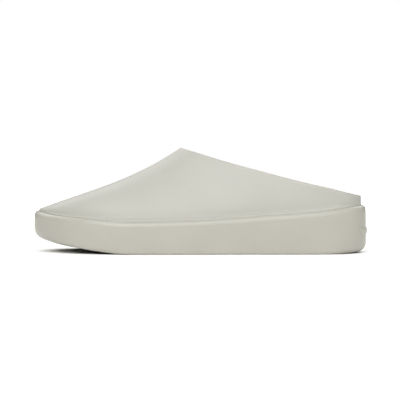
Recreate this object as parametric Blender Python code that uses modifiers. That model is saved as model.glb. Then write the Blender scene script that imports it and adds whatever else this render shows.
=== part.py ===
"""A backless slip-on sneaker of moulded foam, for the left foot.

The toe points to -X, the outer side of the foot to -Y, and the sole stands on Z = 0.
The origin is the middle of the shoe's length and width, on the floor. All sizes are in metres.
A station is a share of the length, counted from the heel (0) to the toe (1).
"""

import math

import bmesh
import bpy
import numpy as np

# Main sizes of the last and of the sole
LENGTH = 0.290
BALL_WIDTH = 0.112
INSTEP_HEIGHT = 0.0904
HEEL_COLLAR_HEIGHT = 0.0477
SOLE_HEEL_HEIGHT = 0.0412
TOE_SPRING = 0.0149
FOOTBED_HEEL_HEIGHT = 0.0245
THROAT_STATION = 0.557

# Sole: rounded rim, wall and tread
RIM_WIDTH = 0.0036
RIM_DROP = 0.0058
RIM_LIP = 0.0006
SPRING_START = 0.683
SPRING_POWER = 1.5
SPRING_SLANT = 0.55
HEEL_LIFT = 0.0016
HEEL_LIFT_END = 0.13
HEEL_LIFT_POWER = 1.5
EDGE_ROUND = 0.0018
EDGE_ROUND_HEEL = 0.0065
EDGE_ROUND_TOE = 0.0060
EDGE_ROUND_REACH = 0.105
TREAD_MARGIN = 0.0095
GROOVE_WIDTH = 0.0040
GROOVE_DEPTH = 0.0020
GROOVE_PITCH = 0.0092
HEEL_TREAD = (0.075, 0.265)
FRONT_TREAD = (0.500, 0.905)

# Raised plain bar on the back of the heel
BAR_RISE = 0.0009
BAR_SINK = 0.0015
BAR_HALF_WIDTH = 0.0200
BAR_BOTTOM = 0.0166
BAR_TOP = 0.0214
BAR_ROUND = 0.0004

# Upper: wall, foot flange and collar rim
WALL = 0.0045
GAP = 0.0003
FLANGE_WIDTH = 0.0034
FLANGE_WIDTH_ENDS = 0.0003
FLANGE_HEIGHT = 0.0034
FLANGE_HEIGHT_ENDS = 0.0008
FLANGE_LIP = 0.0016
FLANGE_REACH_HEEL = 0.11
FLANGE_REACH_TOE = 0.28
INNER_DROP = 0.0100
INNER_DROP_START = 0.78
COLLAR_ROUND = 0.0013
COLLAR_INNER_DROP = 0.0010
COLLAR_BLEND = 0.085
THROAT_RUN = 0.0060

# Insole
INSOLE_THICKNESS = 0.0045
INSOLE_CUP = 0.0025
INSOLE_CUP_REACH = 0.0140
INSOLE_CUP_STEP = 0.0060
INSOLE_EDGE_ROUND = 0.0010

# Resolution of the lofts
HEEL_PART_STEPS = 19
TOE_PART_STEPS = 17
THROAT_STEPS = (0.0008, 0.0032, 0.0072)
ARCH_ROWS = 10
RIM_ROWS = 4
DENSE = 2400

# The fan of sections at each end: sections turn towards a pivot from FAN_START on
FAN_START = 0.30
FAN_PIVOT = 0.11
FAN_END_SLOPE = 0.035

# Outline of the sole seen from above: station, and the side as a share of the ball width
OUTLINE = (
    ("station", "side"),
    (0.000, -0.018),
    (0.022, -0.204),
    (0.085, -0.340),
    (0.190, -0.396),
    (0.340, -0.425),
    (0.500, -0.462),
    (0.640, -0.496),
    (0.740, -0.495),
    (0.830, -0.437),
    (0.905, -0.330),
    (0.960, -0.196),
    (0.991, -0.055),
    (1.000, 0.062),
    (0.990, 0.178),
    (0.957, 0.300),
    (0.898, 0.412),
    (0.815, 0.488),
    (0.720, 0.500),
    (0.620, 0.464),
    (0.500, 0.408),
    (0.370, 0.371),
    (0.220, 0.358),
    (0.095, 0.310),
    (0.022, 0.170),
)

# Profiles along the shoe; each height is a share of the size named beside it
JOINT_LINE = (  # share of SOLE_HEEL_HEIGHT
    ("station", "height"),
    (0.00, 1.000),
    (0.05, 0.955),
    (0.11, 0.893),
    (0.20, 0.834),
    (0.29, 0.790),
    (0.38, 0.742),
    (0.47, 0.702),
    (0.56, 0.677),
    (0.65, 0.663),
    (0.72, 0.666),
    (0.79, 0.702),
    (0.85, 0.740),
    (0.91, 0.775),
    (0.96, 0.828),
    (1.00, 0.876),
)
FOOTBED = (  # share of FOOTBED_HEEL_HEIGHT
    ("station", "height"),
    (0.00, 1.000),
    (0.18, 0.965),
    (0.34, 0.850),
    (0.50, 0.690),
    (0.65, 0.570),
    (0.76, 0.545),
    (0.86, 0.635),
    (1.00, 0.950),
)
BACK_LINE = (  # ridge from toe to throat and its run-on to the ankle, share of INSTEP_HEIGHT
    ("station", "height"),
    (0.000, 1.500),
    (0.150, 1.470),
    (0.300, 1.380),
    (0.400, 1.270),
    (0.500, 1.106),
    (0.557, 1.000),
    (0.597, 0.918),
    (0.651, 0.818),
    (0.705, 0.737),
    (0.760, 0.663),
    (0.814, 0.598),
    (0.868, 0.539),
    (0.922, 0.484),
    (0.970, 0.437),
    (1.000, 0.408),
)
COLLAR_LINE = (  # share of the rise from HEEL_COLLAR_HEIGHT to INSTEP_HEIGHT
    ("station", "rise"),
    (0.000, -0.014),
    (0.050, 0.060),
    (0.100, 0.148),
    (0.150, 0.223),
    (0.250, 0.391),
    (0.350, 0.570),
    (0.450, 0.762),
    (0.520, 0.921),
    (0.557, 1.000),
    (0.700, 1.290),
)
RIDGE_SIDE = (  # where the ridge runs, share of the ball width towards the inner side
    ("station", "side"),
    (0.00, -0.018),
    (0.25, -0.008),
    (0.45, 0.020),
    (0.60, 0.045),
    (0.75, 0.062),
    (1.00, 0.062),
)

# Half a section of the upper, from its foot (0, 0) to the ridge (1, 1): the poles of a smooth
# curve, each "in" a share of the half width and each "up" a share of the height
SECTIONS = (
    ("station", "foot_up", "flank_in", "flank_up", "neck_in", "neck_up", "crest_in"),
    (0.00, 0.16, 0.00, 0.30, 0.02, 0.66, 0.38),
    (0.10, 0.16, 0.10, 0.31, 0.19, 0.66, 0.54),
    (0.32, 0.15, 0.20, 0.31, 0.30, 0.68, 0.62),
    (0.56, 0.15, 0.21, 0.36, 0.36, 0.77, 0.63),
    (0.72, 0.20, 0.12, 0.50, 0.24, 0.91, 0.58),
    (0.84, 0.32, 0.05, 0.66, 0.16, 0.99, 0.50),
    (1.00, 0.30, 0.02, 0.62, 0.10, 0.94, 0.42),
)

COLOURS = {
    "upper": (0.615, 0.600, 0.520),
    "sole": (0.590, 0.570, 0.480),
    "insole": (0.575, 0.560, 0.480),
}
ROUGHNESS = {"upper": 0.62, "sole": 0.66, "insole": 0.78}


def natural_spline(xs, ys):
    """A smooth curve y(x) through points in rising x, straight at both ends."""
    xs = np.asarray(xs, float)
    ys = np.asarray(ys, float)
    step = np.diff(xs)
    count = len(xs)
    matrix = np.eye(count)
    right = np.zeros(count)
    for k in range(1, count - 1):
        matrix[k, k - 1 : k + 2] = step[k - 1], 2 * (step[k - 1] + step[k]), step[k]
        right[k] = 6 * ((ys[k + 1] - ys[k]) / step[k] - (ys[k] - ys[k - 1]) / step[k - 1])
    bend = np.linalg.solve(matrix, right)

    def at(x):
        x = np.asarray(x, float)
        k = np.clip(np.searchsorted(xs, x) - 1, 0, count - 2)
        h = step[k]
        a = (xs[k + 1] - x) / h
        b = (x - xs[k]) / h
        curved = ((a**3 - a) * bend[k] + (b**3 - b) * bend[k + 1]) * h * h / 6
        return a * ys[k] + b * ys[k + 1] + curved

    return at


def column(table, name):
    return [row[table[0].index(name)] for row in table[1:]]


def along(table, name, size=1.0):
    """The named column of a table as a smooth function of the station, times a size."""
    curve = natural_spline(column(table, "station"), column(table, name))
    return lambda station: size * curve(station)


def smooth_step(value):
    value = np.clip(value, 0.0, 1.0)
    return value * value * (3 - 2 * value)


def from_heel(station, reach):
    """1 at the heel, easing to 0 over the reach."""
    return 1 - smooth_step(np.asarray(station, float) / reach)


def from_toe(station, reach):
    """1 at the toe, easing to 0 over the reach."""
    return from_heel(1 - np.asarray(station, float), reach)


def station_x(station):
    """X of a station. The raised bar makes the shoe a little longer than its sole."""
    return (LENGTH - BAR_RISE) / 2 - LENGTH * np.asarray(station, float)


def x_station(x):
    return ((LENGTH - BAR_RISE) / 2 - np.asarray(x, float)) / LENGTH


class Outline:
    """The sole's closed outline, read as one point on each side at a station."""

    def __init__(self):
        stations = np.array(column(OUTLINE, "station"), float)
        sides = np.array(column(OUTLINE, "side"), float)
        points = np.column_stack([stations * LENGTH, sides * BALL_WIDTH])
        # Running round twice makes the middle lap closed and smooth.
        laps = np.vstack([points, points, points, points[:1]])
        run = np.concatenate([[0], np.cumsum(np.linalg.norm(np.diff(laps, axis=0), axis=1))])
        lap = run[len(points)]
        at = np.linspace(lap, 2 * lap, DENSE, endpoint=False)
        along_shoe = natural_spline(run, laps[:, 0])(at)
        across = natural_spline(run, laps[:, 1])(at)
        along_shoe -= along_shoe.min()
        along_shoe *= LENGTH / along_shoe.max()
        across -= (across.max() + across.min()) / 2
        across *= BALL_WIDTH / (across.max() - across.min())
        heel = int(np.argmin(along_shoe))
        along_shoe = np.roll(along_shoe, -heel)
        across = np.roll(across, -heel)
        toe = int(np.argmax(along_shoe))
        line = np.column_stack([(LENGTH - BAR_RISE) / 2 - along_shoe, across])
        tangent = np.roll(line, -1, axis=0) - np.roll(line, 1, axis=0)
        tangent /= np.linalg.norm(tangent, axis=1)[:, None]
        normal = np.column_stack([-tangent[:, 1], tangent[:, 0]])
        outward = 1 if normal[0, 0] > 0 else -1
        table = np.column_stack([along_shoe / LENGTH, line, outward * normal])
        self.outer = table[: toe + 1]
        self.inner = np.vstack([table[:1], table[toe:][::-1]])
        self.inner = self.inner[np.argsort(self.inner[:, 0], kind="stable")]

    def ground(self, x, y):
        """Height of the underside at a point seen from above."""
        station = x_station(x)
        edge = np.interp(station, self.outer[:, 0], self.outer[:, 2])
        return sole_bottom(station, np.asarray(y, float) - edge)

    def at(self, side, station):
        """(point, outward normal) seen from above; side -1 is the outer side, +1 the inner."""
        table = self.outer if side < 0 else self.inner
        row = [np.interp(station, table[:, 0], table[:, k]) for k in range(1, 5)]
        normal = np.array(row[2:])
        return np.array(row[:2]), normal / np.linalg.norm(normal)


class Ring:
    """Columns round the shoe: heel, outer side, toe, inner side. Both sides share stations."""

    def __init__(self, outline, stations):
        count = len(stations)
        self.outline = outline
        order = [(-1, k) for k in range(count)] + [(1, k) for k in range(count - 2, 0, -1)]
        self.count = len(order)
        self.index = [k for _, k in order]
        self.side = [side for side, _ in order]
        self.station = np.array([stations[k] for k in self.index])
        found = [outline.at(side, stations[k]) for side, k in order]
        self.point = np.array([point for point, _ in found])
        self.normal = np.array([normal for _, normal in found])
        self.twin = [self.find(-side if 0 < k < count - 1 else side, k) for side, k in order]

    def find(self, side, index):
        pairs = zip(self.side, self.index)
        return next(n for n, pair in enumerate(pairs) if pair == (side, index))

    def inset(self, distance):
        """The ring moved in from the outline by a distance, one value or one a column."""
        return self.point - self.normal * np.broadcast_to(distance, self.count)[:, None]

    def level(self, distance, height):
        """The ring as points in space, moved in by a distance and lifted to a height."""
        flat = self.inset(distance)
        return np.column_stack([flat, np.broadcast_to(height, self.count)])

    def above(self, distance, floor, rise=0.0):
        """The ring moved in by a distance, at a rise above a floor that follows the station."""
        flat = self.inset(distance)
        return np.column_stack([flat, floor(x_station(flat[:, 0])) + rise])

    def grounded(self, distance, rise=0.0):
        """The ring moved in by a distance, at a rise above the underside."""
        flat = self.inset(distance)
        return np.column_stack([flat, self.outline.ground(flat[:, 0], flat[:, 1]) + rise])


def fan_angle(station):
    return math.acos(1 - 2 * station)


def ridge_station(angle):
    """The ridge station that a section at this angle aims at. The ends fan to a pivot."""
    if angle > math.pi / 2:
        return 1 - ridge_station(math.pi - angle)
    start = fan_angle(FAN_START)
    if angle >= start:
        return (1 - math.cos(angle)) / 2
    share = angle / start
    low, high = FAN_PIVOT, FAN_START
    low_slope = FAN_END_SLOPE * start
    high_slope = math.sin(start) / 2 * start
    s2, s3 = share**2, share**3
    return (
        (2 * s3 - 3 * s2 + 1) * low
        + (s3 - 2 * s2 + share) * low_slope
        + (3 * s2 - 2 * s3) * high
        + (s3 - s2) * high_slope
    )


def loft_stations():
    """Stations close together at both ends and just behind the throat."""
    throat = fan_angle(THROAT_STATION)
    heel_part = np.linspace(0, throat, HEEL_PART_STEPS + 1)
    toe_part = np.linspace(throat, math.pi, TOE_PART_STEPS + 1)[1:]
    angles = list(heel_part[:-1]) + list(toe_part)
    stations = [(1 - math.cos(angle)) / 2 for angle in angles]
    stations += [THROAT_STATION - step / LENGTH for step in (0.0, *THROAT_STEPS)]
    return np.array(sorted(stations))


joint_height = along(JOINT_LINE, "height", SOLE_HEEL_HEIGHT)
footbed_height = along(FOOTBED, "height", FOOTBED_HEEL_HEIGHT)
back_height = along(BACK_LINE, "height", INSTEP_HEIGHT)
collar_rise = along(COLLAR_LINE, "rise", INSTEP_HEIGHT - HEEL_COLLAR_HEIGHT)
ridge_side = along(RIDGE_SIDE, "side", BALL_WIDTH)


def collar_height(station):
    return HEEL_COLLAR_HEIGHT + collar_rise(station)


def sole_bottom(station, across):
    """Height of the underside, at a distance across from the outer side's edge. The fold at
    the ball is slanted, so the inner side lifts later than the outer one. The heel's end is
    lifted a little too, all across."""
    station = np.asarray(station, float)
    folded = station - SPRING_SLANT * np.maximum(across, 0.0) / LENGTH
    toe_share = np.clip((folded - SPRING_START) / (1 - SPRING_START), 0, 1)
    heel_share = np.clip((HEEL_LIFT_END - station) / HEEL_LIFT_END, 0, 1)
    return TOE_SPRING * toe_share**SPRING_POWER + HEEL_LIFT * heel_share**HEEL_LIFT_POWER


def flange_fade(station):
    return from_heel(station, FLANGE_REACH_HEEL) + from_toe(station, FLANGE_REACH_TOE)


def flange_width(station):
    return FLANGE_WIDTH + (FLANGE_WIDTH_ENDS - FLANGE_WIDTH) * flange_fade(station)


def flange_height(station):
    return FLANGE_HEIGHT + (FLANGE_HEIGHT_ENDS - FLANGE_HEIGHT) * flange_fade(station)


def edge_round(station):
    heel = (EDGE_ROUND_HEEL - EDGE_ROUND) * from_heel(station, EDGE_ROUND_REACH)
    toe = (EDGE_ROUND_TOE - EDGE_ROUND) * from_toe(station, EDGE_ROUND_REACH)
    return EDGE_ROUND + heel + toe


def wall_inset(station):
    """From the sole's outline in to the foot of the upper's wall."""
    return RIM_WIDTH + GAP + flange_width(station)


def foot_height(station):
    """Where the upper's wall starts, above its flange."""
    return joint_height(station) + flange_height(station)


def section_curve(poles, count=81):
    """Points (in, up) along half a section, from its foot to the ridge."""
    foot_up, flank_in, flank_up, neck_in, neck_up, crest_in = poles
    control = np.array(
        [(0, 0), (0, foot_up), (flank_in, flank_up), (neck_in, neck_up), (crest_in, 1), (1, 1)]
    )
    degree = len(control) - 1
    t = np.linspace(0, 1, count)[:, None]
    terms = [math.comb(degree, k) * t**k * (1 - t) ** (degree - k) for k in range(degree + 1)]
    return sum(term * pole for term, pole in zip(terms, control))


section_poles = [along(SECTIONS, name) for name in SECTIONS[0][1:]]


def arch(foot, foot_z, ridge, station, thinner, cut):
    """Rows of points from the foot of the wall to the ridge, or to the collar's height there."""
    curve = section_curve([pole(station) for pole in section_poles])
    flat = foot + (ridge - foot) * curve[:, :1]
    stations = x_station(flat[:, 0])
    height = foot_z + (back_height(stations) - thinner - foot_z) * curve[:, 1]
    last = len(curve) - 1.0
    if cut is not None:
        over = height - cut(stations)
        first = int(np.argmax(over > 0))
        last = first - over[first] / (over[first] - over[first - 1])
    at = np.linspace(0, last, ARCH_ROWS + 1)
    steps = np.arange(len(curve))
    return np.column_stack([np.interp(at, steps, c) for c in (*flat.T, height)])


class Shell:
    """Grows one closed mesh from rows of points, one point a column."""

    def __init__(self):
        self.points = []
        self.faces = []

    def add(self, rows):
        first = len(self.points)
        self.points += [tuple(float(v) for v in point) for point in rows]
        return list(range(first, len(self.points)))

    def bridge(self, low, high):
        """Faces between two closed rows of as many points, facing out when low to high
        is to the left of the way round."""
        count = len(low)
        for k in range(count):
            n = (k + 1) % count
            corners = [low[k], low[n], high[n], high[k]]
            kept = [c for i, c in enumerate(corners) if c != corners[i - 1]]
            if len(set(kept)) > 2:
                self.faces.append(kept)

    def object(self, name):
        mesh = bpy.data.meshes.new(name)
        mesh.from_pydata(self.points, [], self.faces)
        shape = bmesh.new()
        shape.from_mesh(mesh)
        bmesh.ops.remove_doubles(shape, verts=shape.verts, dist=0.00001)
        bmesh.ops.recalc_face_normals(shape, faces=shape.faces)
        shape.to_mesh(mesh)
        shape.free()
        mesh.validate()
        made = bpy.data.objects.new(name, mesh)
        return made


def across(shell, ring, edge, depth, height_at):
    """Closes a ring with strips that run across the shoe, depth points between the sides.
    height_at gives the height at a point seen from above."""
    half = max(ring.index)
    rows = []
    for k in range(1, half):
        left = edge[ring.find(-1, k)]
        right = edge[ring.find(1, k)]
        a = np.array(shell.points[left])
        b = np.array(shell.points[right])
        between = []
        for n in range(1, depth + 1):
            share = n / (depth + 1)
            point = a + (b - a) * share
            point[2] = height_at(point)
            between.append(point)
        rows.append([left, *shell.add(between), right])
    ends = [edge[ring.find(-1, 0)], edge[ring.find(-1, half)]]
    for row, end in ((rows[0], ends[0]), (rows[-1], ends[1])):
        for n in range(len(row) - 1):
            shell.faces.append([end, row[n], row[n + 1]])
    for one, two in zip(rows, rows[1:]):
        for n in range(len(one) - 1):
            shell.faces.append([one[n], two[n], two[n + 1], one[n + 1]])


def quarter(count):
    """(sine, cosine) at even angles inside a quarter turn."""
    angles = [math.pi / 2 * (k + 1) / (count + 1) for k in range(count)]
    return [(math.sin(angle), math.cos(angle)) for angle in angles]


def sole_rows(ring):
    """Rows of points from the edge of the bottom up the wall and down into the recess."""
    station = ring.station
    joint = joint_height(station)
    turn = edge_round(station)
    rows = [ring.grounded(turn)]
    rows += [ring.grounded(turn * (1 - s), turn * (1 - c)) for s, c in quarter(3)]
    rows += [ring.grounded(0.0, turn), ring.level(0.0, joint - RIM_DROP)]
    crown = RIM_WIDTH - RIM_LIP
    rows += [ring.level(crown * (1 - c), joint - RIM_DROP * (1 - s)) for s, c in quarter(5)]
    rows += [ring.level(crown, joint), ring.level(RIM_WIDTH, joint - RIM_LIP)]
    rows += [ring.above(RIM_WIDTH, footbed_height)]
    return rows


def sole_body(ring):
    shell = Shell()
    rows = [shell.add(points) for points in sole_rows(ring)]
    for low, high in zip(rows, rows[1:]):
        shell.bridge(low, high)
    across(shell, ring, rows[0], 5, lambda point: ring.outline.ground(point[0], point[1]))
    across(shell, ring, rows[-1], 1, lambda point: footbed_height(x_station(point[0])))
    return shell.object("sole")


def upper_shell(outline, stations):
    """Outer and inner walls, joined by the rim at the collar and by the foot underneath."""
    throat = int(np.argmin(abs(stations - THROAT_STATION)))
    fall = back_height(THROAT_STATION) - back_height(THROAT_STATION + THROAT_RUN / LENGTH)
    lean = fall / THROAT_RUN
    cosine = 1 / math.hypot(1, lean)
    back_step = WALL * lean * cosine / LENGTH
    spread = 1 - smooth_step(abs(stations - THROAT_STATION) / COLLAR_BLEND)
    outer_ring = Ring(outline, stations)
    inner_ring = Ring(outline, stations - back_step * spread)
    thinner = WALL / cosine

    def inner_cut(station):
        throat_inside = THROAT_STATION - back_step
        extra = collar_height(throat_inside) - back_height(throat_inside) + thinner
        fade = 1 - smooth_step((throat_inside - station) / COLLAR_BLEND)
        return collar_height(station) - COLLAR_INNER_DROP - (extra - COLLAR_INNER_DROP) * fade

    shell = Shell()
    outside = wall_face(shell, outer_ring, throat, 0.0, 0.0, 0.0, lambda s: collar_height(s))
    drop = INNER_DROP * smooth_step((inner_ring.station - INNER_DROP_START) / (1 - INNER_DROP_START))
    inside = wall_face(shell, inner_ring, throat, WALL, thinner, drop, inner_cut)
    collar_rim(shell, outer_ring, throat, outside, inside)
    rows = [shell.add(outer_ring.above(RIM_WIDTH + GAP, footbed_height, GAP))]
    joint = joint_height(outer_ring.station)
    width = flange_width(outer_ring.station)
    height = flange_height(outer_ring.station)
    lip = height * FLANGE_LIP / FLANGE_HEIGHT
    flange = [(RIM_WIDTH + GAP, joint - RIM_LIP), (RIM_WIDTH + GAP, joint + lip)]
    for s, c in quarter(2):
        flange.append((RIM_WIDTH + GAP + width * s, joint + lip + (height - lip) * (1 - c)))
    rows += [shell.add(outer_ring.level(inset, z)) for inset, z in flange]
    rows.append(outside[0])
    for low, high in zip(rows, rows[1:]):
        shell.bridge(low, high)
    inner_inset = wall_inset(inner_ring.station) + WALL
    bottom = shell.add(inner_ring.above(inner_inset, footbed_height, GAP))
    shell.bridge(bottom, inside[0])
    shell.bridge(rows[0], bottom)
    return shell.object("upper")


def wall_face(shell, ring, throat, thickness, thinner, drop, cut):
    """One face of the upper: rows of points from the foot up. In front of the throat both
    sides meet on the ridge, and behind it they stop at the collar."""
    station = ring.station
    foot = ring.inset(wall_inset(station) + thickness)
    foot_z = foot_height(station) - drop
    columns = []
    for n in range(ring.count):
        aim = ridge_station(fan_angle(float(np.clip(station[n], 0, 1))))
        ridge = np.array([station_x(aim), ridge_side(aim)])
        behind = ring.index[n] < throat
        columns.append(
            arch(foot[n], foot_z[n], ridge, station[n], thinner, cut if behind else None)
        )
    rows = [shell.add([points[k] for points in columns]) for k in range(ARCH_ROWS + 1)]
    for low, high in zip(rows, rows[1:]):
        shell.bridge(low, high)
    return rows


def collar_rim(shell, ring, throat, outside, inside):
    """The rounded rim between the two faces, round the opening only."""
    open_columns = [n for n in range(ring.count) if ring.index[n] <= throat]
    first = ring.find(1, throat)
    start = open_columns.index(first)
    path = open_columns[start:] + open_columns[:start]
    outer = [outside[-1][n] for n in path]
    inner = [inside[-1][n] for n in path]
    below_outer = np.array([shell.points[outside[-2][n]] for n in path])
    below_inner = np.array([shell.points[inside[-2][n]] for n in path])
    a = np.array([shell.points[k] for k in outer])
    b = np.array([shell.points[k] for k in inner])
    up_a = (a - below_outer) / np.linalg.norm(a - below_outer, axis=1)[:, None]
    up_b = (b - below_inner) / np.linalg.norm(b - below_inner, axis=1)[:, None]
    # Both sides meet at the throat, where they share one direction.
    up_a[[0, -1]] = (up_a[0] + up_a[-1]) / 2
    up_b[[0, -1]] = (up_b[0] + up_b[-1]) / 2
    rows = [outer]
    for k in range(1, RIM_ROWS + 1):
        angle = math.pi * k / (RIM_ROWS + 1)
        share = (1 - math.copysign(abs(math.cos(angle)) ** 0.6, math.cos(angle))) / 2
        rise = COLLAR_ROUND * math.sin(angle) ** 0.6
        middle = a + (b - a) * share + (up_a * (1 - share) + up_b * share) * rise
        rows.append(shell.add(middle))
    rows.append(inner)
    for low, high in zip(rows, rows[1:]):
        for k in range(len(path) - 1):
            corners = [low[k], low[k + 1], high[k + 1], high[k]]
            shell.faces.append(corners)


def insole_body(ring):
    """A footbed that fills the upper's foot and turns up a little round its edge."""
    station = ring.station
    inset = wall_inset(station) + WALL + GAP
    brim = ring.inset(inset + INSOLE_EDGE_ROUND)
    nexts = np.roll(brim, -1, axis=0) - brim

    def from_brim(point):
        share = ((point - brim) * nexts).sum(axis=1) / (nexts**2).sum(axis=1)
        nearest = brim + nexts * np.clip(share, 0, 1)[:, None]
        return np.linalg.norm(point - nearest, axis=1).min()

    def top(point):
        cup = INSOLE_CUP * (1 - smooth_step(from_brim(point[:2]) / INSOLE_CUP_REACH))
        return footbed_height(x_station(point[0])) + GAP + INSOLE_THICKNESS + cup

    edge = GAP + INSOLE_THICKNESS + INSOLE_CUP
    shell = Shell()
    rows = [
        shell.add(ring.above(inset, footbed_height, GAP)),
        shell.add(ring.above(inset, footbed_height, edge - INSOLE_EDGE_ROUND)),
        shell.add(ring.above(inset + INSOLE_EDGE_ROUND, footbed_height, edge)),
    ]
    for one, two in zip(rows, rows[1:]):
        shell.bridge(one, two)
    inner = ring.inset(inset + INSOLE_CUP_STEP)
    heights = [top(point) for point in inner]
    rows.append(shell.add(np.column_stack([inner, heights])))
    shell.bridge(rows[-2], rows[-1])
    across(shell, ring, rows[0], 1, lambda point: footbed_height(x_station(point[0])) + GAP)
    across(shell, ring, rows[-1], 5, top)
    return shell.object("insole")


def finish(item, collection):
    """Links a piece, with its own material and smooth faces."""
    name = item.name
    material = bpy.data.materials.new(name + "_foam")
    material.use_nodes = True
    shader = material.node_tree.nodes["Principled BSDF"]
    shader.inputs["Base Color"].default_value = (*COLOURS[name], 1.0)
    shader.inputs["Roughness"].default_value = ROUGHNESS[name]
    shader.inputs["Metallic"].default_value = 0.0
    material.diffuse_color = (*COLOURS[name], 1.0)
    item.data.materials.append(material)
    item.data.shade_smooth()
    item.data.set_sharp_from_angle(angle=math.radians(40))
    collection.objects.link(item)


def groove(outline, station):
    """A slot across the tread with round ends: both ends of its centre line, at its top."""
    ends = []
    for side in (-1, 1):
        point, normal = outline.at(side, station)
        end = point - normal * (TREAD_MARGIN + GROOVE_WIDTH / 2)
        ends.append(np.array([*end, float(outline.ground(*end)) + GROOVE_DEPTH]))
    return ends


def tread_cutter(outline, collection):
    """All the slots of the tread as one cutter of separate bars."""
    shape = bmesh.new()
    for low, high in (HEEL_TREAD, FRONT_TREAD):
        count = int(round((high - low) * LENGTH / GROOVE_PITCH))
        for k in range(count + 1):
            add_bar(shape, *groove(outline, low + (high - low) * k / count))
    mesh = bpy.data.meshes.new("tread_cutter")
    shape.to_mesh(mesh)
    shape.free()
    cutter = bpy.data.objects.new("tread_cutter", mesh)
    cutter.hide_render = True
    cutter.display_type = "WIRE"
    collection.objects.link(cutter)
    return cutter


def add_bar(shape, end_a, end_b, segments=5):
    """An upright bar with half round ends, its top sloping between two points."""
    a, b = end_a[:2], end_b[:2]
    radius = GROOVE_WIDTH / 2
    run = (b - a) / np.linalg.norm(b - a)
    side = np.array([-run[1], run[0]])
    rim = []
    for centre, way in ((a, -1), (b, 1)):
        for k in range(segments + 1):
            angle = math.pi * (k / segments - 0.5)
            turn = run * math.cos(angle) * way + side * math.sin(angle) * way
            rim.append(centre + turn * radius)
    lower = [shape.verts.new((*point, -GROOVE_DEPTH)) for point in rim]
    face = shape.faces.new(lower)
    made = bmesh.ops.extrude_face_region(shape, geom=[face])
    for v in made["geom"]:
        if isinstance(v, bmesh.types.BMVert):
            share = (np.array(v.co[:2]) - a) @ (b - a) / ((b - a) @ (b - a))
            v.co.z = end_a[2] + (end_b[2] - end_a[2]) * share
    bmesh.ops.recalc_face_normals(shape, faces=shape.faces)


def heel_bar(outline, collection):
    """The plain raised bar, a strip of the heel's outline that is fused to the sole."""
    heel_y = outline.at(-1, 0.0)[0][1]
    stations = [(1 - math.cos(math.pi * k / 120)) / 2 for k in range(60)]
    strip = []
    for side in (1, -1):
        for station in stations[::-1] if side > 0 else stations[1:]:
            point, normal = outline.at(side, station)
            if abs(point[1] - heel_y) <= BAR_HALF_WIDTH:
                strip.append((point, normal))
    shape = bmesh.new()
    loop = [point + normal * BAR_RISE for point, normal in strip]
    loop += [point - normal * BAR_SINK for point, normal in strip[::-1]]
    face = shape.faces.new([shape.verts.new((*point, BAR_BOTTOM)) for point in loop])
    made = bmesh.ops.extrude_face_region(shape, geom=[face])
    moved = [v for v in made["geom"] if isinstance(v, bmesh.types.BMVert)]
    bmesh.ops.translate(shape, verts=moved, vec=(0, 0, BAR_TOP - BAR_BOTTOM))
    bmesh.ops.recalc_face_normals(shape, faces=shape.faces)
    mesh = bpy.data.meshes.new("heel_bar")
    shape.to_mesh(mesh)
    shape.free()
    bar = bpy.data.objects.new("heel_bar", mesh)
    bar.hide_render = True
    bar.display_type = "WIRE"
    collection.objects.link(bar)
    rounding = bar.modifiers.new("rounding", "BEVEL")
    rounding.width = BAR_ROUND
    rounding.segments = 1
    rounding.limit_method = "ANGLE"
    rounding.angle_limit = math.radians(50)
    return bar


def collection_named(name):
    made = bpy.data.collections.new(name)
    bpy.context.scene.collection.children.link(made)
    return made


def main():
    for item in list(bpy.data.objects):
        bpy.data.objects.remove(item)
    shoe = collection_named("slip_on_sneaker")
    cutters = collection_named("cutters")
    outline = Outline()
    stations = loft_stations()
    ring = Ring(outline, stations)
    sole = sole_body(ring)
    finish(sole, shoe)
    finish(upper_shell(outline, stations), shoe)
    finish(insole_body(ring), shoe)
    for name, other, how in (
        ("heel_bar", heel_bar(outline, cutters), "UNION"),
        ("tread", tread_cutter(outline, cutters), "DIFFERENCE"),
    ):
        cut = sole.modifiers.new(name, "BOOLEAN")
        cut.object = other
        cut.operation = how


main()
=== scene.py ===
import math

import bmesh
import bpy
import numpy as np
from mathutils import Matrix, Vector


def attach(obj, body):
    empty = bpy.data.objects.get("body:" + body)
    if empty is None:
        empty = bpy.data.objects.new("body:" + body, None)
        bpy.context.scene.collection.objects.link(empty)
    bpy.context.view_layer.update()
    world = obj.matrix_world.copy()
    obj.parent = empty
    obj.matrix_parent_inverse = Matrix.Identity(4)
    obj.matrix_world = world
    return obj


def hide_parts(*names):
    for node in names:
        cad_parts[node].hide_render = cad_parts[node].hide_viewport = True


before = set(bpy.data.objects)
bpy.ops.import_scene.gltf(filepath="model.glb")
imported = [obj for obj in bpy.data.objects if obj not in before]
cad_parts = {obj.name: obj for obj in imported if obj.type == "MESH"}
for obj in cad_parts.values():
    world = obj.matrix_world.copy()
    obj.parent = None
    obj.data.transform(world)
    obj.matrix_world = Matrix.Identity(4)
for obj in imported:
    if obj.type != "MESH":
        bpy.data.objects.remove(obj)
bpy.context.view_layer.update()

# The photographer's place: the outer side of the left shoe, seen from 1.25 m away and 68 mm above
# the table, turned a little towards the heel. The long lens keeps the sole's lines nearly parallel.
VIEW_DISTANCE = 1.25
VIEW_HEIGHT = 0.068
VIEW_TURN = math.radians(3.2)
VIEW_CENTRE = Vector((0.00075, 0.0, 0.0449))
VIEW_LENS = 129.12

bpy.ops.object.select_all(action="DESELECT")
bpy.ops.object.camera_add(
    location=(
        VIEW_DISTANCE * math.sin(VIEW_TURN),
        -VIEW_DISTANCE * math.cos(VIEW_TURN),
        VIEW_HEIGHT,
    )
)
camera = bpy.context.object
camera.name = "photo_camera"
camera.rotation_euler = (VIEW_CENTRE - camera.location).to_track_quat("-Z", "Y").to_euler()
camera.data.lens = VIEW_LENS
camera.data.sensor_width = 36
camera.data.clip_end = 300
bpy.context.scene.camera = camera


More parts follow.
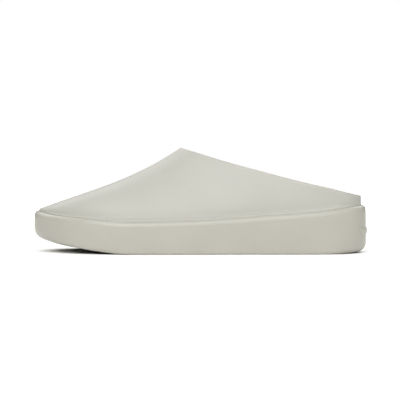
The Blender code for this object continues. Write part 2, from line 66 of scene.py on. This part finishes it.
# The table: one sheet of matt white studio board, laid flat and lit until it turns pure white.
# It runs on far behind the shoe, so no edge and no horizon shows.
BOARD_SIZE = 160.0
BOARD_WHITE = (0.93, 0.93, 0.93, 1)
BOARD_GLARE = 1.25
FIBRE_SCALE = 900
FIBRE_SHADE = 0.985
GLOW_START = 0.5
GLOW_FULL = 1.5


def add_node(tree, kind, place, **settings):
    """A node of a kind at a place in the editor, with its settings."""
    node = tree.nodes.new(kind)
    node.location = place
    for name, value in settings.items():
        setattr(node, name, value)
    return node


def new_material(name):
    """An empty material and its Principled shader, wired to the output."""
    material = bpy.data.materials.new(name)
    material.use_nodes = True
    tree = material.node_tree
    tree.nodes.clear()
    shader = add_node(tree, "ShaderNodeBsdfPrincipled", (0, 0))
    output = add_node(tree, "ShaderNodeOutputMaterial", (320, 0))
    tree.links.new(shader.outputs["BSDF"], output.inputs["Surface"])
    return material, tree, shader


def shade_of(colour, share):
    """A colour made lighter or darker by a share."""
    return (*(part * share for part in colour[:3]), 1)


bpy.ops.object.select_all(action="DESELECT")
bpy.ops.mesh.primitive_plane_add(size=BOARD_SIZE, location=(0, 0, 0))
board = bpy.context.object
board.name = "studio_board"
board_paper, board_tree, board_shader = new_material("white_board")
board_shader.inputs["Roughness"].default_value = 0.85
board_shader.inputs["Specular IOR Level"].default_value = 0.1
board_place = add_node(board_tree, "ShaderNodeTexCoord", (-900, 0))
board_fibre = add_node(board_tree, "ShaderNodeTexNoise", (-700, 0))
board_fibre.inputs["Scale"].default_value = FIBRE_SCALE
board_fibre.inputs["Detail"].default_value = 4
board_tone = add_node(board_tree, "ShaderNodeMix", (-300, 0), data_type="RGBA")
board_tone.inputs["A"].default_value = BOARD_WHITE
board_tone.inputs["B"].default_value = shade_of(BOARD_WHITE, FIBRE_SHADE)
board_glare = add_node(board_tree, "ShaderNodeBsdfDiffuse", (0, 300))
board_glare.inputs["Color"].default_value = shade_of(BOARD_WHITE, BOARD_GLARE)
board_reach = add_node(board_tree, "ShaderNodeVectorMath", (-700, 500), operation="LENGTH")
board_fade = add_node(
    board_tree, "ShaderNodeMapRange", (-450, 500), interpolation_type="SMOOTHSTEP"
)
board_fade.inputs["From Min"].default_value = GLOW_START
board_fade.inputs["From Max"].default_value = GLOW_FULL
board_far = add_node(board_tree, "ShaderNodeEmission", (-200, 500))
board_lit = add_node(board_tree, "ShaderNodeAddShader", (160, 450))
board_seen = add_node(board_tree, "ShaderNodeLightPath", (0, 700))
board_finish = add_node(board_tree, "ShaderNodeMixShader", (320, 300))
board_output = next(node for node in board_tree.nodes if node.type == "OUTPUT_MATERIAL")
board_output.location = (600, 200)
board_tree.links.new(board_place.outputs["Object"], board_fibre.inputs["Vector"])
board_tree.links.new(board_fibre.outputs["Fac"], board_tone.inputs["Factor"])
board_tree.links.new(board_tone.outputs["Result"], board_shader.inputs["Base Color"])
board_tree.links.new(board_seen.outputs["Is Camera Ray"], board_finish.inputs["Fac"])
board_tree.links.new(board_shader.outputs["BSDF"], board_finish.inputs[1])
board_tree.links.new(board_place.outputs["Object"], board_reach.inputs[0])
board_tree.links.new(board_reach.outputs["Value"], board_fade.inputs["Value"])
board_tree.links.new(board_fade.outputs["Result"], board_far.inputs["Strength"])
board_tree.links.new(board_glare.outputs["BSDF"], board_lit.inputs[0])
board_tree.links.new(board_far.outputs["Emission"], board_lit.inputs[1])
board_tree.links.new(board_lit.outputs["Shader"], board_finish.inputs[2])
board_tree.links.new(board_finish.outputs["Shader"], board_output.inputs["Surface"])
board.data.materials.append(board_paper)


# The light: two square soft boxes at the photographer's left and right, higher than the shoe, and a
# smaller, lower one between them. Two more stand behind, one at each end and one overhead. Turns
# and heights are in degrees. The room round them is dim.
SOFT_BOX_DISTANCE = 1.9
ROOM_STRENGTH = 0.08
SOFT_BOXES = (  # name, turn from the camera towards the heel, height, watts, size in metres
    ("front_left", -25, 42, 12.8, 1.2),
    ("front_right", 25, 42, 11.5, 1.2),
    ("front_small", -8, 32, 4.6, 0.5),
    ("toe_end", -122, 38, 9.0, 1.2),
    ("back_left", -165, 42, 7.0, 1.2),
    ("back_right", 150, 38, 9.0, 1.2),
    ("heel_end", 80, 30, 5.0, 1.2),
    ("overhead", 0, 88, 4.0, 1.2),
)

room = bpy.data.worlds.new("dim_room")
room.use_nodes = True
room_tree = room.node_tree
room_glow = room_tree.nodes["Background"]
room_glow.inputs["Strength"].default_value = ROOM_STRENGTH
room_output = room_tree.nodes["World Output"]
backdrop = add_node(room_tree, "ShaderNodeBackground", (0, -200))
room_seen = add_node(room_tree, "ShaderNodeLightPath", (0, 400))
room_finish = add_node(room_tree, "ShaderNodeMixShader", (300, 100))
for background in (room_glow, backdrop):
    background.inputs["Color"].default_value = (1, 1, 1, 1)
room_tree.links.new(room_seen.outputs["Is Camera Ray"], room_finish.inputs["Fac"])
room_tree.links.new(room_glow.outputs["Background"], room_finish.inputs[1])
room_tree.links.new(backdrop.outputs["Background"], room_finish.inputs[2])
room_tree.links.new(room_finish.outputs["Shader"], room_output.inputs["Surface"])
bpy.context.scene.world = room

for box_name, turn, height, power, size in SOFT_BOXES:
    turn, height = math.radians(turn), math.radians(height)
    stand = Vector(
        (math.sin(turn) * math.cos(height), -math.cos(turn) * math.cos(height), math.sin(height))
    )
    bpy.ops.object.select_all(action="DESELECT")
    bpy.ops.object.light_add(type="AREA", location=stand * SOFT_BOX_DISTANCE)
    soft_box = bpy.context.object
    soft_box.name = box_name
    soft_box.rotation_euler = (-stand).to_track_quat("-Z", "Y").to_euler()
    soft_box.data.shape = "SQUARE"
    soft_box.data.size = size
    soft_box.data.energy = power
bpy.context.scene.view_settings.view_transform = "Standard"


# The sole: one thick block of moulded foam, poured in its own mould and hollowed for the footbed.
# Its wall stands upright and ends above in a rounded shoulder that the upper stands behind.
SHOE_LENGTH = 0.290
BALL_WIDTH = 0.112
BAR_RISE = 0.0009
SOLE_TOP = 0.0412
TOE_SPRING = 0.0149
SPRING_START = 0.683
SPRING_SLANT = 0.55
HEEL_LIFT = 0.0016
HEEL_LIFT_END = 0.13
LIFT_POWER = 1.5
SHOULDER_WIDTH = 0.0036
SHOULDER_DROP = 0.0058
SHOULDER_LIP = 0.0006
BOND_WIDTH = 0.0003
BOND_DROP = 0.0003
EDGE_ROUND = 0.0018
EDGE_ROUND_HEEL = 0.0065
EDGE_ROUND_TOE = 0.0060
EDGE_ROUND_REACH = 0.105
FOOTBED_TOP = 0.0245
HOLLOW_EDGE = 0.0008
OUTLINE_POINTS = 2400
OUTLINE_STEP = 0.0008
SOLE_COLUMNS = 56
WALL_ROWS = (0.08, 0.5, 0.92, 1.0)
SHOULDER_TURNS = (15, 30, 45, 60, 75, 90)
HOLLOW_ROWS = (0.15, 0.85, 1.0)
EDGE_ROWS = (0.0003, 0.0008, 0.0016, 0.0028, 0.0043, 0.0060, 0.0070)
ROW_RISE = 0.002
MERGE_REACH = 0.00001
UNDERSIDE_REACH = 0.0001
UNDERSIDE_NORMAL = 0.9
SOFTEN_LEVELS = 2
SMOOTH_ANGLE = math.radians(35)
TREAD_MARGIN = 0.0095
GROOVE_WIDTH = 0.0040
GROOVE_DEPTH = 0.0020
GROOVE_PITCH = 0.0092
GROOVE_ROUND = 0.0006
GROOVE_SIDES = 20
TREADS = ((0.075, 0.265), (0.500, 0.905))
BAR_HALF_WIDTH = 0.0200
BAR_BOTTOM = 0.0166
BAR_TOP = 0.0214
BAR_SINK = 0.0015
BAR_ROUND = 0.0004
BAR_ROUND_ANGLE = math.radians(40)
BAR_COLUMNS = 24
HEEL_POINTS = 300
SOLE_COLOUR = (0.530, 0.518, 0.449)
SOLE_OUTLINE = (  # station from the heel (0) to the toe (1), side as a share of the ball width
    (0.000, -0.018), (0.022, -0.204), (0.085, -0.340), (0.190, -0.396), (0.340, -0.425),
    (0.500, -0.462), (0.640, -0.496), (0.740, -0.495), (0.830, -0.437), (0.905, -0.330),
    (0.960, -0.196), (0.991, -0.055), (1.000, 0.062), (0.990, 0.178), (0.957, 0.300),
    (0.898, 0.412), (0.815, 0.488), (0.720, 0.500), (0.620, 0.464), (0.500, 0.408),
    (0.370, 0.371), (0.220, 0.358), (0.095, 0.310), (0.022, 0.170),
)
JOINT_LINE = (  # station, height as a share of the sole's height at the heel
    (0.00, 1.000), (0.05, 0.955), (0.11, 0.893), (0.20, 0.834), (0.29, 0.790), (0.38, 0.742),
    (0.47, 0.702), (0.56, 0.677), (0.65, 0.663), (0.72, 0.666), (0.79, 0.702), (0.85, 0.740),
    (0.91, 0.775), (0.96, 0.828), (1.00, 0.876),
)
FOOTBED_LINE = (  # station, height as a share of the footbed's height at the heel
    (0.00, 1.000), (0.18, 0.965), (0.34, 0.850), (0.50, 0.690), (0.65, 0.570), (0.76, 0.545),
    (0.86, 0.635), (1.00, 0.950),
)


def bent_strip(places, heights):
    """A smooth curve through points, as a springy drawing strip would lie through them."""
    step = np.diff(places)
    slope = np.diff(heights) / step
    count = len(places)
    pull = np.eye(count)
    load = np.zeros(count)
    for k in range(1, count - 1):
        pull[k, k - 1 : k + 2] = step[k - 1], 2 * (step[k - 1] + step[k]), step[k]
        load[k] = 6 * (slope[k] - slope[k - 1])
    bend = np.linalg.solve(pull, load)

    def at(place):
        k = np.clip(np.searchsorted(places, place) - 1, 0, count - 2)
        a = (places[k + 1] - place) / step[k]
        b = (place - places[k]) / step[k]
        curved = ((a**3 - a) * bend[k] + (b**3 - b) * bend[k + 1]) * step[k] ** 2 / 6
        return a * heights[k] + b * heights[k + 1] + curved

    return at


def profile(table, size):
    """A table's second column as a smooth height along the shoe, for a place along X."""
    stations, shares = np.array(table).T
    curve = bent_strip(stations, shares * size)
    return lambda x: float(curve(station_of(x)))


def station_of(x):
    """The share of the length, from the heel, at a place along X."""
    return ((SHOE_LENGTH - BAR_RISE) / 2 - x) / SHOE_LENGTH


def place_of(station):
    """The place along X of a share of the length, from the heel."""
    return (SHOE_LENGTH - BAR_RISE) / 2 - SHOE_LENGTH * station


def outline_sides():
    """The outline seen from above, as two runs of points: the outer side and the inner side."""
    points = np.array(SOLE_OUTLINE) * (SHOE_LENGTH, BALL_WIDTH)
    laps = np.vstack([points, points, points, points[:1]])
    run = np.concatenate([[0], np.cumsum(np.linalg.norm(np.diff(laps, axis=0), axis=1))])
    lap = run[len(points)]
    at = np.linspace(lap, 2 * lap, OUTLINE_POINTS, endpoint=False)
    along = bent_strip(run, laps[:, 0])(at)
    across = bent_strip(run, laps[:, 1])(at)
    along = (along - along.min()) * SHOE_LENGTH / (along.max() - along.min())
    middle = (across.max() + across.min()) / 2
    across = (across - middle) * BALL_WIDTH / (across.max() - across.min())
    heel = int(np.argmin(along))
    along, across = np.roll(along, -heel), np.roll(across, -heel)
    toe = int(np.argmax(along))
    outer = np.column_stack([along[: toe + 1] / SHOE_LENGTH, across[: toe + 1]])
    inner = np.column_stack([along[toe:][::-1] / SHOE_LENGTH, across[toe:][::-1]])
    inner[0] = outer[0]
    return outer, inner


outer_side, inner_side = outline_sides()
joint_at = profile(JOINT_LINE, SOLE_TOP)
footbed_at = profile(FOOTBED_LINE, FOOTBED_TOP)


def ground_at(x, y):
    """The underside: flat from the heel to the ball, then lifted under the toes, and a little
    at the heel's end. The fold at the ball is slanted, so the inner side lifts later."""
    station = station_of(x)
    edge = float(np.interp(station, outer_side[:, 0], outer_side[:, 1]))
    folded = station - SPRING_SLANT * max(y - edge, 0.0) / SHOE_LENGTH
    toe_share = min(max((folded - SPRING_START) / (1 - SPRING_START), 0.0), 1.0)
    heel_share = min(max(1 - station / HEEL_LIFT_END, 0.0), 1.0)
    return TOE_SPRING * toe_share**LIFT_POWER + HEEL_LIFT * heel_share**LIFT_POWER


def eased(value):
    """A share from 0 to 1 that starts and ends gently."""
    value = min(max(value, 0.0), 1.0)
    return value * value * (3 - 2 * value)


def edge_radius(x):
    """How round the sole's lower edge is: tight along the sides, fuller at the heel and toe."""
    station = station_of(x)
    heel = (EDGE_ROUND_HEEL - EDGE_ROUND) * (1 - eased(station / EDGE_ROUND_REACH))
    toe = (EDGE_ROUND_TOE - EDGE_ROUND) * (1 - eased((1 - station) / EDGE_ROUND_REACH))
    return EDGE_ROUND + heel + toe


def edge_height(x, y, inset):
    """Height of the rounded lower edge at an inset from the outline."""
    radius = edge_radius(x)
    if inset >= radius:
        return ground_at(x, y)
    return ground_at(x, y) + radius - math.sqrt(radius**2 - (radius - inset) ** 2)


def lift_selected(piece, height_at):
    """Every selected corner goes to the height that its place on the shoe asks for."""
    shape = bmesh.from_edit_mesh(piece.data)
    for corner in shape.verts:
        if corner.select:
            corner.co.z = height_at(corner.co.x, corner.co.y)
    bmesh.update_edit_mesh(piece.data)


def turn_in(width):
    """A new row of faces just inside the edge of the selected ones."""
    bpy.ops.mesh.inset(thickness=width, depth=0, use_boundary=True, use_even_offset=True)


def round_over(piece):
    """Divides the facets of the active piece, so that they lie as one soft surface."""
    soften = piece.modifiers.new("soften", "SUBSURF")
    soften.levels = soften.render_levels = SOFTEN_LEVELS
    bpy.ops.object.modifier_apply(modifier="soften")


# The skin that the mould leaves on closed-cell foam, in any colour: a little uneven, with a fine
# grain that breaks the light, a painted highlight on sharp edges and painted shade in the creases.
CLOUD_SCALE = 32
CLOUD_LOW = 0.35
CLOUD_HIGH = 0.65
# Sharp edges are painted lighter, as a highlight, from this pointiness up to the full share.
EDGE_HIGHLIGHT_START = 0.505
EDGE_HIGHLIGHT_FULL = 0.56
EDGE_HIGHLIGHT_SHARE = 0.7
# Creases are painted darker, as shade, from this pointiness down to the full share.
CREASE_SHADE_START = 0.495
CREASE_SHADE_FULL = 0.42
CREASE_SHADE_SHARE = 0.6
ROUGHNESS_SPREAD = 0.12
PIT_WIDTH = 0.25
GRAIN_SHARE = 0.6
SKIN_DEPTH = 0.0003


def group_input(group, name, kind, value):
    """A new input of a node group, with its first value."""
    socket = group.interface.new_socket(name=name, in_out="INPUT", socket_type=kind)
    socket.default_value = value


foam_skin = bpy.data.node_groups.new("foam_skin", "ShaderNodeTree")
group_input(foam_skin, "Colour", "NodeSocketColor", (0.6, 0.6, 0.6, 1))
# The colour of the painted highlight on sharp edges.
group_input(foam_skin, "Edge Highlight Colour", "NodeSocketColor", (0.7, 0.7, 0.7, 1))
# The darker colour that the random mottle runs towards, and that creases are painted with as shade.
group_input(foam_skin, "Mottle And Crease Shade Colour", "NodeSocketColor", (0.4, 0.4, 0.4, 1))
group_input(foam_skin, "Mottle", "NodeSocketFloat", 0.05)
group_input(foam_skin, "Grain Scale", "NodeSocketFloat", 1400.0)
group_input(foam_skin, "Roughness", "NodeSocketFloat", 0.6)
foam_skin.interface.new_socket(name="Colour", in_out="OUTPUT", socket_type="NodeSocketColor")
foam_skin.interface.new_socket(name="Roughness", in_out="OUTPUT", socket_type="NodeSocketFloat")
foam_skin.interface.new_socket(name="Height", in_out="OUTPUT", socket_type="NodeSocketFloat")
given = add_node(foam_skin, "NodeGroupInput", (-1200, 0))
place = add_node(foam_skin, "ShaderNodeTexCoord", (-1200, -400))
cloud = add_node(foam_skin, "ShaderNodeTexNoise", (-950, 200))
cloud.inputs["Scale"].default_value = CLOUD_SCALE
cloud.inputs["Detail"].default_value = 3
grain = add_node(foam_skin, "ShaderNodeTexNoise", (-950, -150))
grain.inputs["Detail"].default_value = 2
pits = add_node(foam_skin, "ShaderNodeTexVoronoi", (-950, -500))
cloud_tone = add_node(foam_skin, "ShaderNodeMapRange", (-700, 200))
cloud_tone.inputs["From Min"].default_value = CLOUD_LOW
cloud_tone.inputs["From Max"].default_value = CLOUD_HIGH
cloud_share = add_node(foam_skin, "ShaderNodeMath", (-500, 200), operation="MULTIPLY")
mottled = add_node(foam_skin, "ShaderNodeMix", (-250, 200), data_type="RGBA")
edges = add_node(foam_skin, "ShaderNodeNewGeometry", (-950, 500))
# Painted highlight: the sharper the edge, the lighter the colour.
edge_highlight_mask = add_node(foam_skin, "ShaderNodeMapRange", (-700, 600))
edge_highlight_mask.inputs["From Min"].default_value = EDGE_HIGHLIGHT_START
edge_highlight_mask.inputs["From Max"].default_value = EDGE_HIGHLIGHT_FULL
edge_highlight_mask.inputs["To Max"].default_value = EDGE_HIGHLIGHT_SHARE
# Painted shade: the deeper the crease, the darker the colour.
crease_shade_mask = add_node(foam_skin, "ShaderNodeMapRange", (-700, 900))
crease_shade_mask.inputs["From Min"].default_value = CREASE_SHADE_START
crease_shade_mask.inputs["From Max"].default_value = CREASE_SHADE_FULL
crease_shade_mask.inputs["To Max"].default_value = CREASE_SHADE_SHARE
edge_lit = add_node(foam_skin, "ShaderNodeMix", (0, 300), data_type="RGBA")
crease_shaded = add_node(foam_skin, "ShaderNodeMix", (250, 300), data_type="RGBA")
rough = add_node(foam_skin, "ShaderNodeMath", (0, -100), operation="MULTIPLY_ADD")
rough.inputs[1].default_value = ROUGHNESS_SPREAD
pit_mask = add_node(foam_skin, "ShaderNodeMapRange", (-700, -500))
pit_mask.inputs["From Max"].default_value = PIT_WIDTH
skin_height = add_node(foam_skin, "ShaderNodeMath", (0, -400), operation="MULTIPLY_ADD")
skin_height.inputs[1].default_value = GRAIN_SHARE
result = add_node(foam_skin, "NodeGroupOutput", (500, 0))
wire = foam_skin.links.new
wire(place.outputs["Object"], cloud.inputs["Vector"])
wire(place.outputs["Object"], grain.inputs["Vector"])
wire(place.outputs["Object"], pits.inputs["Vector"])
wire(given.outputs["Grain Scale"], grain.inputs["Scale"])
wire(given.outputs["Grain Scale"], pits.inputs["Scale"])
wire(cloud.outputs["Fac"], cloud_tone.inputs["Value"])
wire(cloud_tone.outputs["Result"], cloud_share.inputs[0])
wire(given.outputs["Mottle"], cloud_share.inputs[1])
wire(cloud_share.outputs["Value"], mottled.inputs["Factor"])
wire(given.outputs["Colour"], mottled.inputs["A"])
wire(given.outputs["Mottle And Crease Shade Colour"], mottled.inputs["B"])
wire(edges.outputs["Pointiness"], edge_highlight_mask.inputs["Value"])
wire(edges.outputs["Pointiness"], crease_shade_mask.inputs["Value"])
wire(edge_highlight_mask.outputs["Result"], edge_lit.inputs["Factor"])
wire(mottled.outputs["Result"], edge_lit.inputs["A"])
wire(given.outputs["Edge Highlight Colour"], edge_lit.inputs["B"])
wire(crease_shade_mask.outputs["Result"], crease_shaded.inputs["Factor"])
wire(edge_lit.outputs["Result"], crease_shaded.inputs["A"])
wire(given.outputs["Mottle And Crease Shade Colour"], crease_shaded.inputs["B"])
wire(crease_shaded.outputs["Result"], result.inputs["Colour"])
wire(grain.outputs["Fac"], rough.inputs[0])
wire(given.outputs["Roughness"], rough.inputs[2])
wire(rough.outputs["Value"], result.inputs["Roughness"])
wire(pits.outputs["Distance"], pit_mask.inputs["Value"])
wire(grain.outputs["Fac"], skin_height.inputs[0])
wire(pit_mask.outputs["Result"], skin_height.inputs[2])
wire(skin_height.outputs["Value"], result.inputs["Height"])


def foam_material(name, colour, edge_highlight_to, mottle_and_shade_to, mottle, grain_scale, roughness, relief):
    """The foam skin in one colour. Sharp edges are made lighter by the first share, a painted
    highlight, and creases darker by the second, painted shade; the random mottle runs towards that
    darker colour too. Relief is how strongly the grain shows."""
    material, tree, shader = new_material(name)
    skin = add_node(tree, "ShaderNodeGroup", (-500, 0), node_tree=foam_skin)
    skin.inputs["Colour"].default_value = (*colour, 1)
    skin.inputs["Edge Highlight Colour"].default_value = shade_of(colour, edge_highlight_to)
    skin.inputs["Mottle And Crease Shade Colour"].default_value = shade_of(colour, mottle_and_shade_to)
    skin.inputs["Mottle"].default_value = mottle
    skin.inputs["Grain Scale"].default_value = grain_scale
    skin.inputs["Roughness"].default_value = roughness
    bump = add_node(tree, "ShaderNodeBump", (-250, -200))
    bump.inputs["Strength"].default_value = relief
    bump.inputs["Distance"].default_value = SKIN_DEPTH
    shader.inputs["Specular IOR Level"].default_value = 0.5
    tree.links.new(skin.outputs["Colour"], shader.inputs["Base Color"])
    tree.links.new(skin.outputs["Roughness"], shader.inputs["Roughness"])
    tree.links.new(skin.outputs["Height"], bump.inputs["Height"])
    tree.links.new(bump.outputs["Normal"], shader.inputs["Normal"])
    return material


# The blank is a strip of faces across the shoe, its corners set on the drawn outline.
bpy.ops.object.select_all(action="DESELECT")
bpy.ops.mesh.primitive_grid_add(x_subdivisions=SOLE_COLUMNS, y_subdivisions=1, size=2)
sole = bpy.context.object
sole.name = "foam_sole"
for corner in sole.data.vertices:
    station = (1 + math.sin(math.pi / 2 * max(-1.0, min(1.0, -corner.co.x)))) / 2
    side = outer_side if corner.co.y < 0 else inner_side
    corner.co.y = float(np.interp(station, side[:, 0], side[:, 1]))
    corner.co.x = place_of(station)
bpy.ops.object.mode_set(mode="EDIT")
bpy.ops.mesh.select_mode(type="FACE")
bpy.ops.mesh.select_all(action="SELECT")
bpy.ops.mesh.remove_doubles(threshold=MERGE_REACH)
bpy.ops.mesh.normals_make_consistent(inside=False)

# The wall goes up, the shoulder turns in on a quarter round, and the hollow goes down inside it.
bpy.ops.mesh.extrude_region_move(TRANSFORM_OT_translate={"value": (0, 0, ROW_RISE)})
lift_selected(sole, lambda x, y: ground_at(x, y) + edge_radius(x))
for share in WALL_ROWS:
    bpy.ops.mesh.extrude_region_move(TRANSFORM_OT_translate={"value": (0, 0, ROW_RISE)})
    lift_selected(
        sole,
        lambda x, y: (ground_at(x, y) + edge_radius(x)) * (1 - share)
        + (joint_at(x) - SHOULDER_DROP) * share,
    )
crown = SHOULDER_WIDTH - SHOULDER_LIP
turned = 0.0
for angle in SHOULDER_TURNS:
    reach = crown * (1 - math.cos(math.radians(angle)))
    turn_in(reach - turned)
    turned = reach
    rise = SHOULDER_DROP * (1 - math.sin(math.radians(angle)))
    lift_selected(sole, lambda x, y: joint_at(x) - rise)
for width in (SHOULDER_LIP, BOND_WIDTH):
    turn_in(width)
    lift_selected(sole, lambda x, y: joint_at(x) - BOND_DROP)
for share in HOLLOW_ROWS:
    bpy.ops.mesh.extrude_region_move(TRANSFORM_OT_translate={"value": (0, 0, -ROW_RISE)})
    lift_selected(
        sole,
        lambda x, y: (joint_at(x) - BOND_DROP) * (1 - share) + footbed_at(x) * share,
    )
turn_in(HOLLOW_EDGE)

# The underside is turned in on its own round edge, row by row.
shape = bmesh.from_edit_mesh(sole.data)
shape.normal_update()
for face in shape.faces:
    is_low = all(corner.co.z < UNDERSIDE_REACH for corner in face.verts)
    face.select_set(is_low and abs(face.normal.z) > UNDERSIDE_NORMAL)
bmesh.update_edit_mesh(sole.data)
turned = 0.0
lift_selected(sole, lambda x, y: edge_height(x, y, 0.0))
for reach in EDGE_ROWS:
    turn_in(reach - turned)
    turned = reach
    lift_selected(sole, lambda x, y: edge_height(x, y, reach))
bpy.ops.mesh.select_all(action="SELECT")
bpy.ops.mesh.remove_doubles(threshold=MERGE_REACH)
bpy.ops.mesh.normals_make_consistent(inside=False)
bpy.ops.object.mode_set(mode="OBJECT")
round_over(sole)


def outline_point(side, x):
    """The outline's point at a place along the shoe, and the way straight out of it."""
    station = station_of(x)
    spots = [
        Vector((x - step, float(np.interp(station + step / SHOE_LENGTH, side[:, 0], side[:, 1]))))
        for step in (-OUTLINE_STEP, OUTLINE_STEP)
    ]
    run = (spots[1] - spots[0]).normalized()
    out = Vector((-run.y, run.x))
    point = (spots[0] + spots[1]) / 2
    if out.y * point.y < 0:
        out = -out
    return point, out


# A groove of the tread: a slot with half round ends and a rounded floor, modelled once. It is
# turned by half a side, so that no corner lies on the line where the slot is drawn out.
bpy.ops.object.select_all(action="DESELECT")
bpy.ops.mesh.primitive_cylinder_add(
    vertices=GROOVE_SIDES, radius=GROOVE_WIDTH / 2, depth=2 * GROOVE_DEPTH
)
groove = bpy.context.object
groove.name = "tread_groove"
bpy.ops.object.mode_set(mode="EDIT")
bpy.ops.mesh.select_all(action="SELECT")
bpy.ops.transform.rotate(
    value=math.radians(180 / GROOVE_SIDES), orient_axis="Z", center_override=(0, 0, 0)
)
shape = bmesh.from_edit_mesh(groove.data)
for edge in shape.edges:
    edge.select_set(all(corner.co.z > 0 for corner in edge.verts))
bmesh.update_edit_mesh(groove.data)
bpy.ops.mesh.bevel(offset=GROOVE_ROUND, segments=3)
bpy.ops.object.mode_set(mode="OBJECT")

# It is copied down the tread, each copy drawn out between two points inside the outline.
grooves = []
for low, high in TREADS:
    count = round((high - low) * SHOE_LENGTH / GROOVE_PITCH)
    for k in range(count + 1):
        x = place_of(low + (high - low) * k / count)
        ends = []
        for side in (outer_side, inner_side):
            point, out = outline_point(side, x)
            end = point - out * (TREAD_MARGIN + GROOVE_WIDTH / 2)
            ends.append(Vector((end.x, end.y, ground_at(end.x, end.y))))
        cut = groove.copy()
        cut.data = groove.data.copy()
        bpy.context.collection.objects.link(cut)
        for corner in cut.data.vertices:
            corner.co += ends[0] if corner.co.y < 0 else ends[1]
        grooves.append(cut)
bpy.ops.object.select_all(action="DESELECT")
for cut in grooves:
    cut.select_set(True)
bpy.context.view_layer.objects.active = grooves[0]
bpy.ops.object.join()
tread = bpy.context.object
carve = sole.modifiers.new("tread", "BOOLEAN")
carve.operation = "DIFFERENCE"
carve.solver = "EXACT"
carve.object = tread

# The raised bar on the back of the heel is a strip laid along the outline, raised and rounded.
bpy.ops.object.select_all(action="DESELECT")
bpy.ops.mesh.primitive_grid_add(x_subdivisions=BAR_COLUMNS, y_subdivisions=1, size=2)
bar = bpy.context.object
bar.name = "heel_bar"
back = np.vstack([outer_side[:HEEL_POINTS][::-1], inner_side[1:HEEL_POINTS]])
back_run = back[:, 1] - outer_side[0, 1]
for corner in bar.data.vertices:
    across = corner.co.x * BAR_HALF_WIDTH
    spots = []
    for near in (across - OUTLINE_STEP, across + OUTLINE_STEP):
        x = place_of(float(np.interp(near, back_run, back[:, 0])))
        spots.append(Vector((x, near + outer_side[0, 1])))
    run = (spots[1] - spots[0]).normalized()
    out = Vector((run.y, -run.x))
    spot = (spots[0] + spots[1]) / 2 + out * (BAR_RISE if corner.co.y > 0 else -BAR_SINK)
    corner.co = (spot.x, spot.y, BAR_BOTTOM)
bpy.ops.object.mode_set(mode="EDIT")
bpy.ops.mesh.select_mode(type="FACE")
bpy.ops.mesh.select_all(action="SELECT")
bpy.ops.mesh.extrude_region_move(TRANSFORM_OT_translate={"value": (0, 0, BAR_TOP - BAR_BOTTOM)})
bpy.ops.mesh.select_all(action="SELECT")
bpy.ops.mesh.normals_make_consistent(inside=False)
bpy.ops.object.mode_set(mode="OBJECT")
rounding = bar.modifiers.new("rounding", "BEVEL")
rounding.width = BAR_ROUND
rounding.segments = 3
rounding.limit_method = "ANGLE"
rounding.angle_limit = BAR_ROUND_ANGLE
bpy.ops.object.modifier_apply(modifier="rounding")
bond = sole.modifiers.new("bar", "BOOLEAN")
bond.operation = "UNION"
bond.solver = "EXACT"
bond.object = bar

bpy.ops.object.select_all(action="DESELECT")
sole.select_set(True)
bpy.context.view_layer.objects.active = sole
bpy.ops.object.modifier_apply(modifier="tread")
bpy.ops.object.modifier_apply(modifier="bar")
for tool in (groove, tread, bar):
    bpy.data.objects.remove(tool)
bpy.ops.object.shade_smooth_by_angle(angle=SMOOTH_ANGLE)
sole.data.materials.clear()
sole.data.materials.append(
    foam_material(
        "sole_foam",
        SOLE_COLOUR,
        # Sharp edges get a painted highlight, creases painted shade.
        edge_highlight_to=1.08,
        mottle_and_shade_to=0.88,
        mottle=0.30,
        grain_scale=1300,
        roughness=0.27,
        relief=0.10,
    )
)
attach(sole, "root")
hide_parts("sole")


# The upper: one hollow shell of moulded foam, 4.5 mm thick, with a flange round its foot that is
# bonded to the sole's shoulder. It is open at the collar and underneath, and at the heel it is
# only a low rim.
UPPER_COLOUR = (0.535, 0.528, 0.474)
PAIRING_ANGLE = math.radians(60)


def softened_copy(node, name):
    """A copy of a node of the CAD model: merged, its triangles paired, and rounded over."""
    bpy.ops.object.select_all(action="DESELECT")
    node.select_set(True)
    bpy.context.view_layer.objects.active = node
    bpy.ops.object.duplicate()
    piece = bpy.context.object
    piece.name = name
    piece.parent = None
    bpy.ops.object.mode_set(mode="EDIT")
    bpy.ops.mesh.select_all(action="SELECT")
    bpy.ops.mesh.remove_doubles(threshold=MERGE_REACH)
    bpy.ops.mesh.tris_convert_to_quads(
        face_threshold=PAIRING_ANGLE, shape_threshold=PAIRING_ANGLE
    )
    bpy.ops.object.mode_set(mode="OBJECT")
    round_over(piece)
    bpy.ops.object.shade_smooth()
    piece.data.materials.clear()
    return piece


upper = softened_copy(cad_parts["upper"], "foam_upper")
upper.data.materials.append(
    foam_material(
        "upper_foam",
        UPPER_COLOUR,
        # Sharp edges get a painted highlight, creases painted shade.
        edge_highlight_to=1.06,
        mottle_and_shade_to=0.90,
        mottle=0.25,
        grain_scale=1500,
        roughness=0.44,
        relief=0.12,
    )
)
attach(upper, "root")
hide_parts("upper")


# The insole: a soft foam footbed, laid in the hollow of the sole inside the foot of the upper. It
# dips under the heel and turns up a little all round.
INSOLE_COLOUR = (0.53, 0.52, 0.46)

insole = softened_copy(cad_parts["insole"], "foam_insole")
insole.data.materials.append(
    foam_material(
        "insole_foam",
        INSOLE_COLOUR,
        # Sharp edges get a painted highlight, creases painted shade.
        edge_highlight_to=1.03,
        mottle_and_shade_to=0.86,
        mottle=0.40,
        grain_scale=900,
        roughness=0.60,
        relief=0.45,
    )
)
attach(insole, "root")
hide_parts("insole")
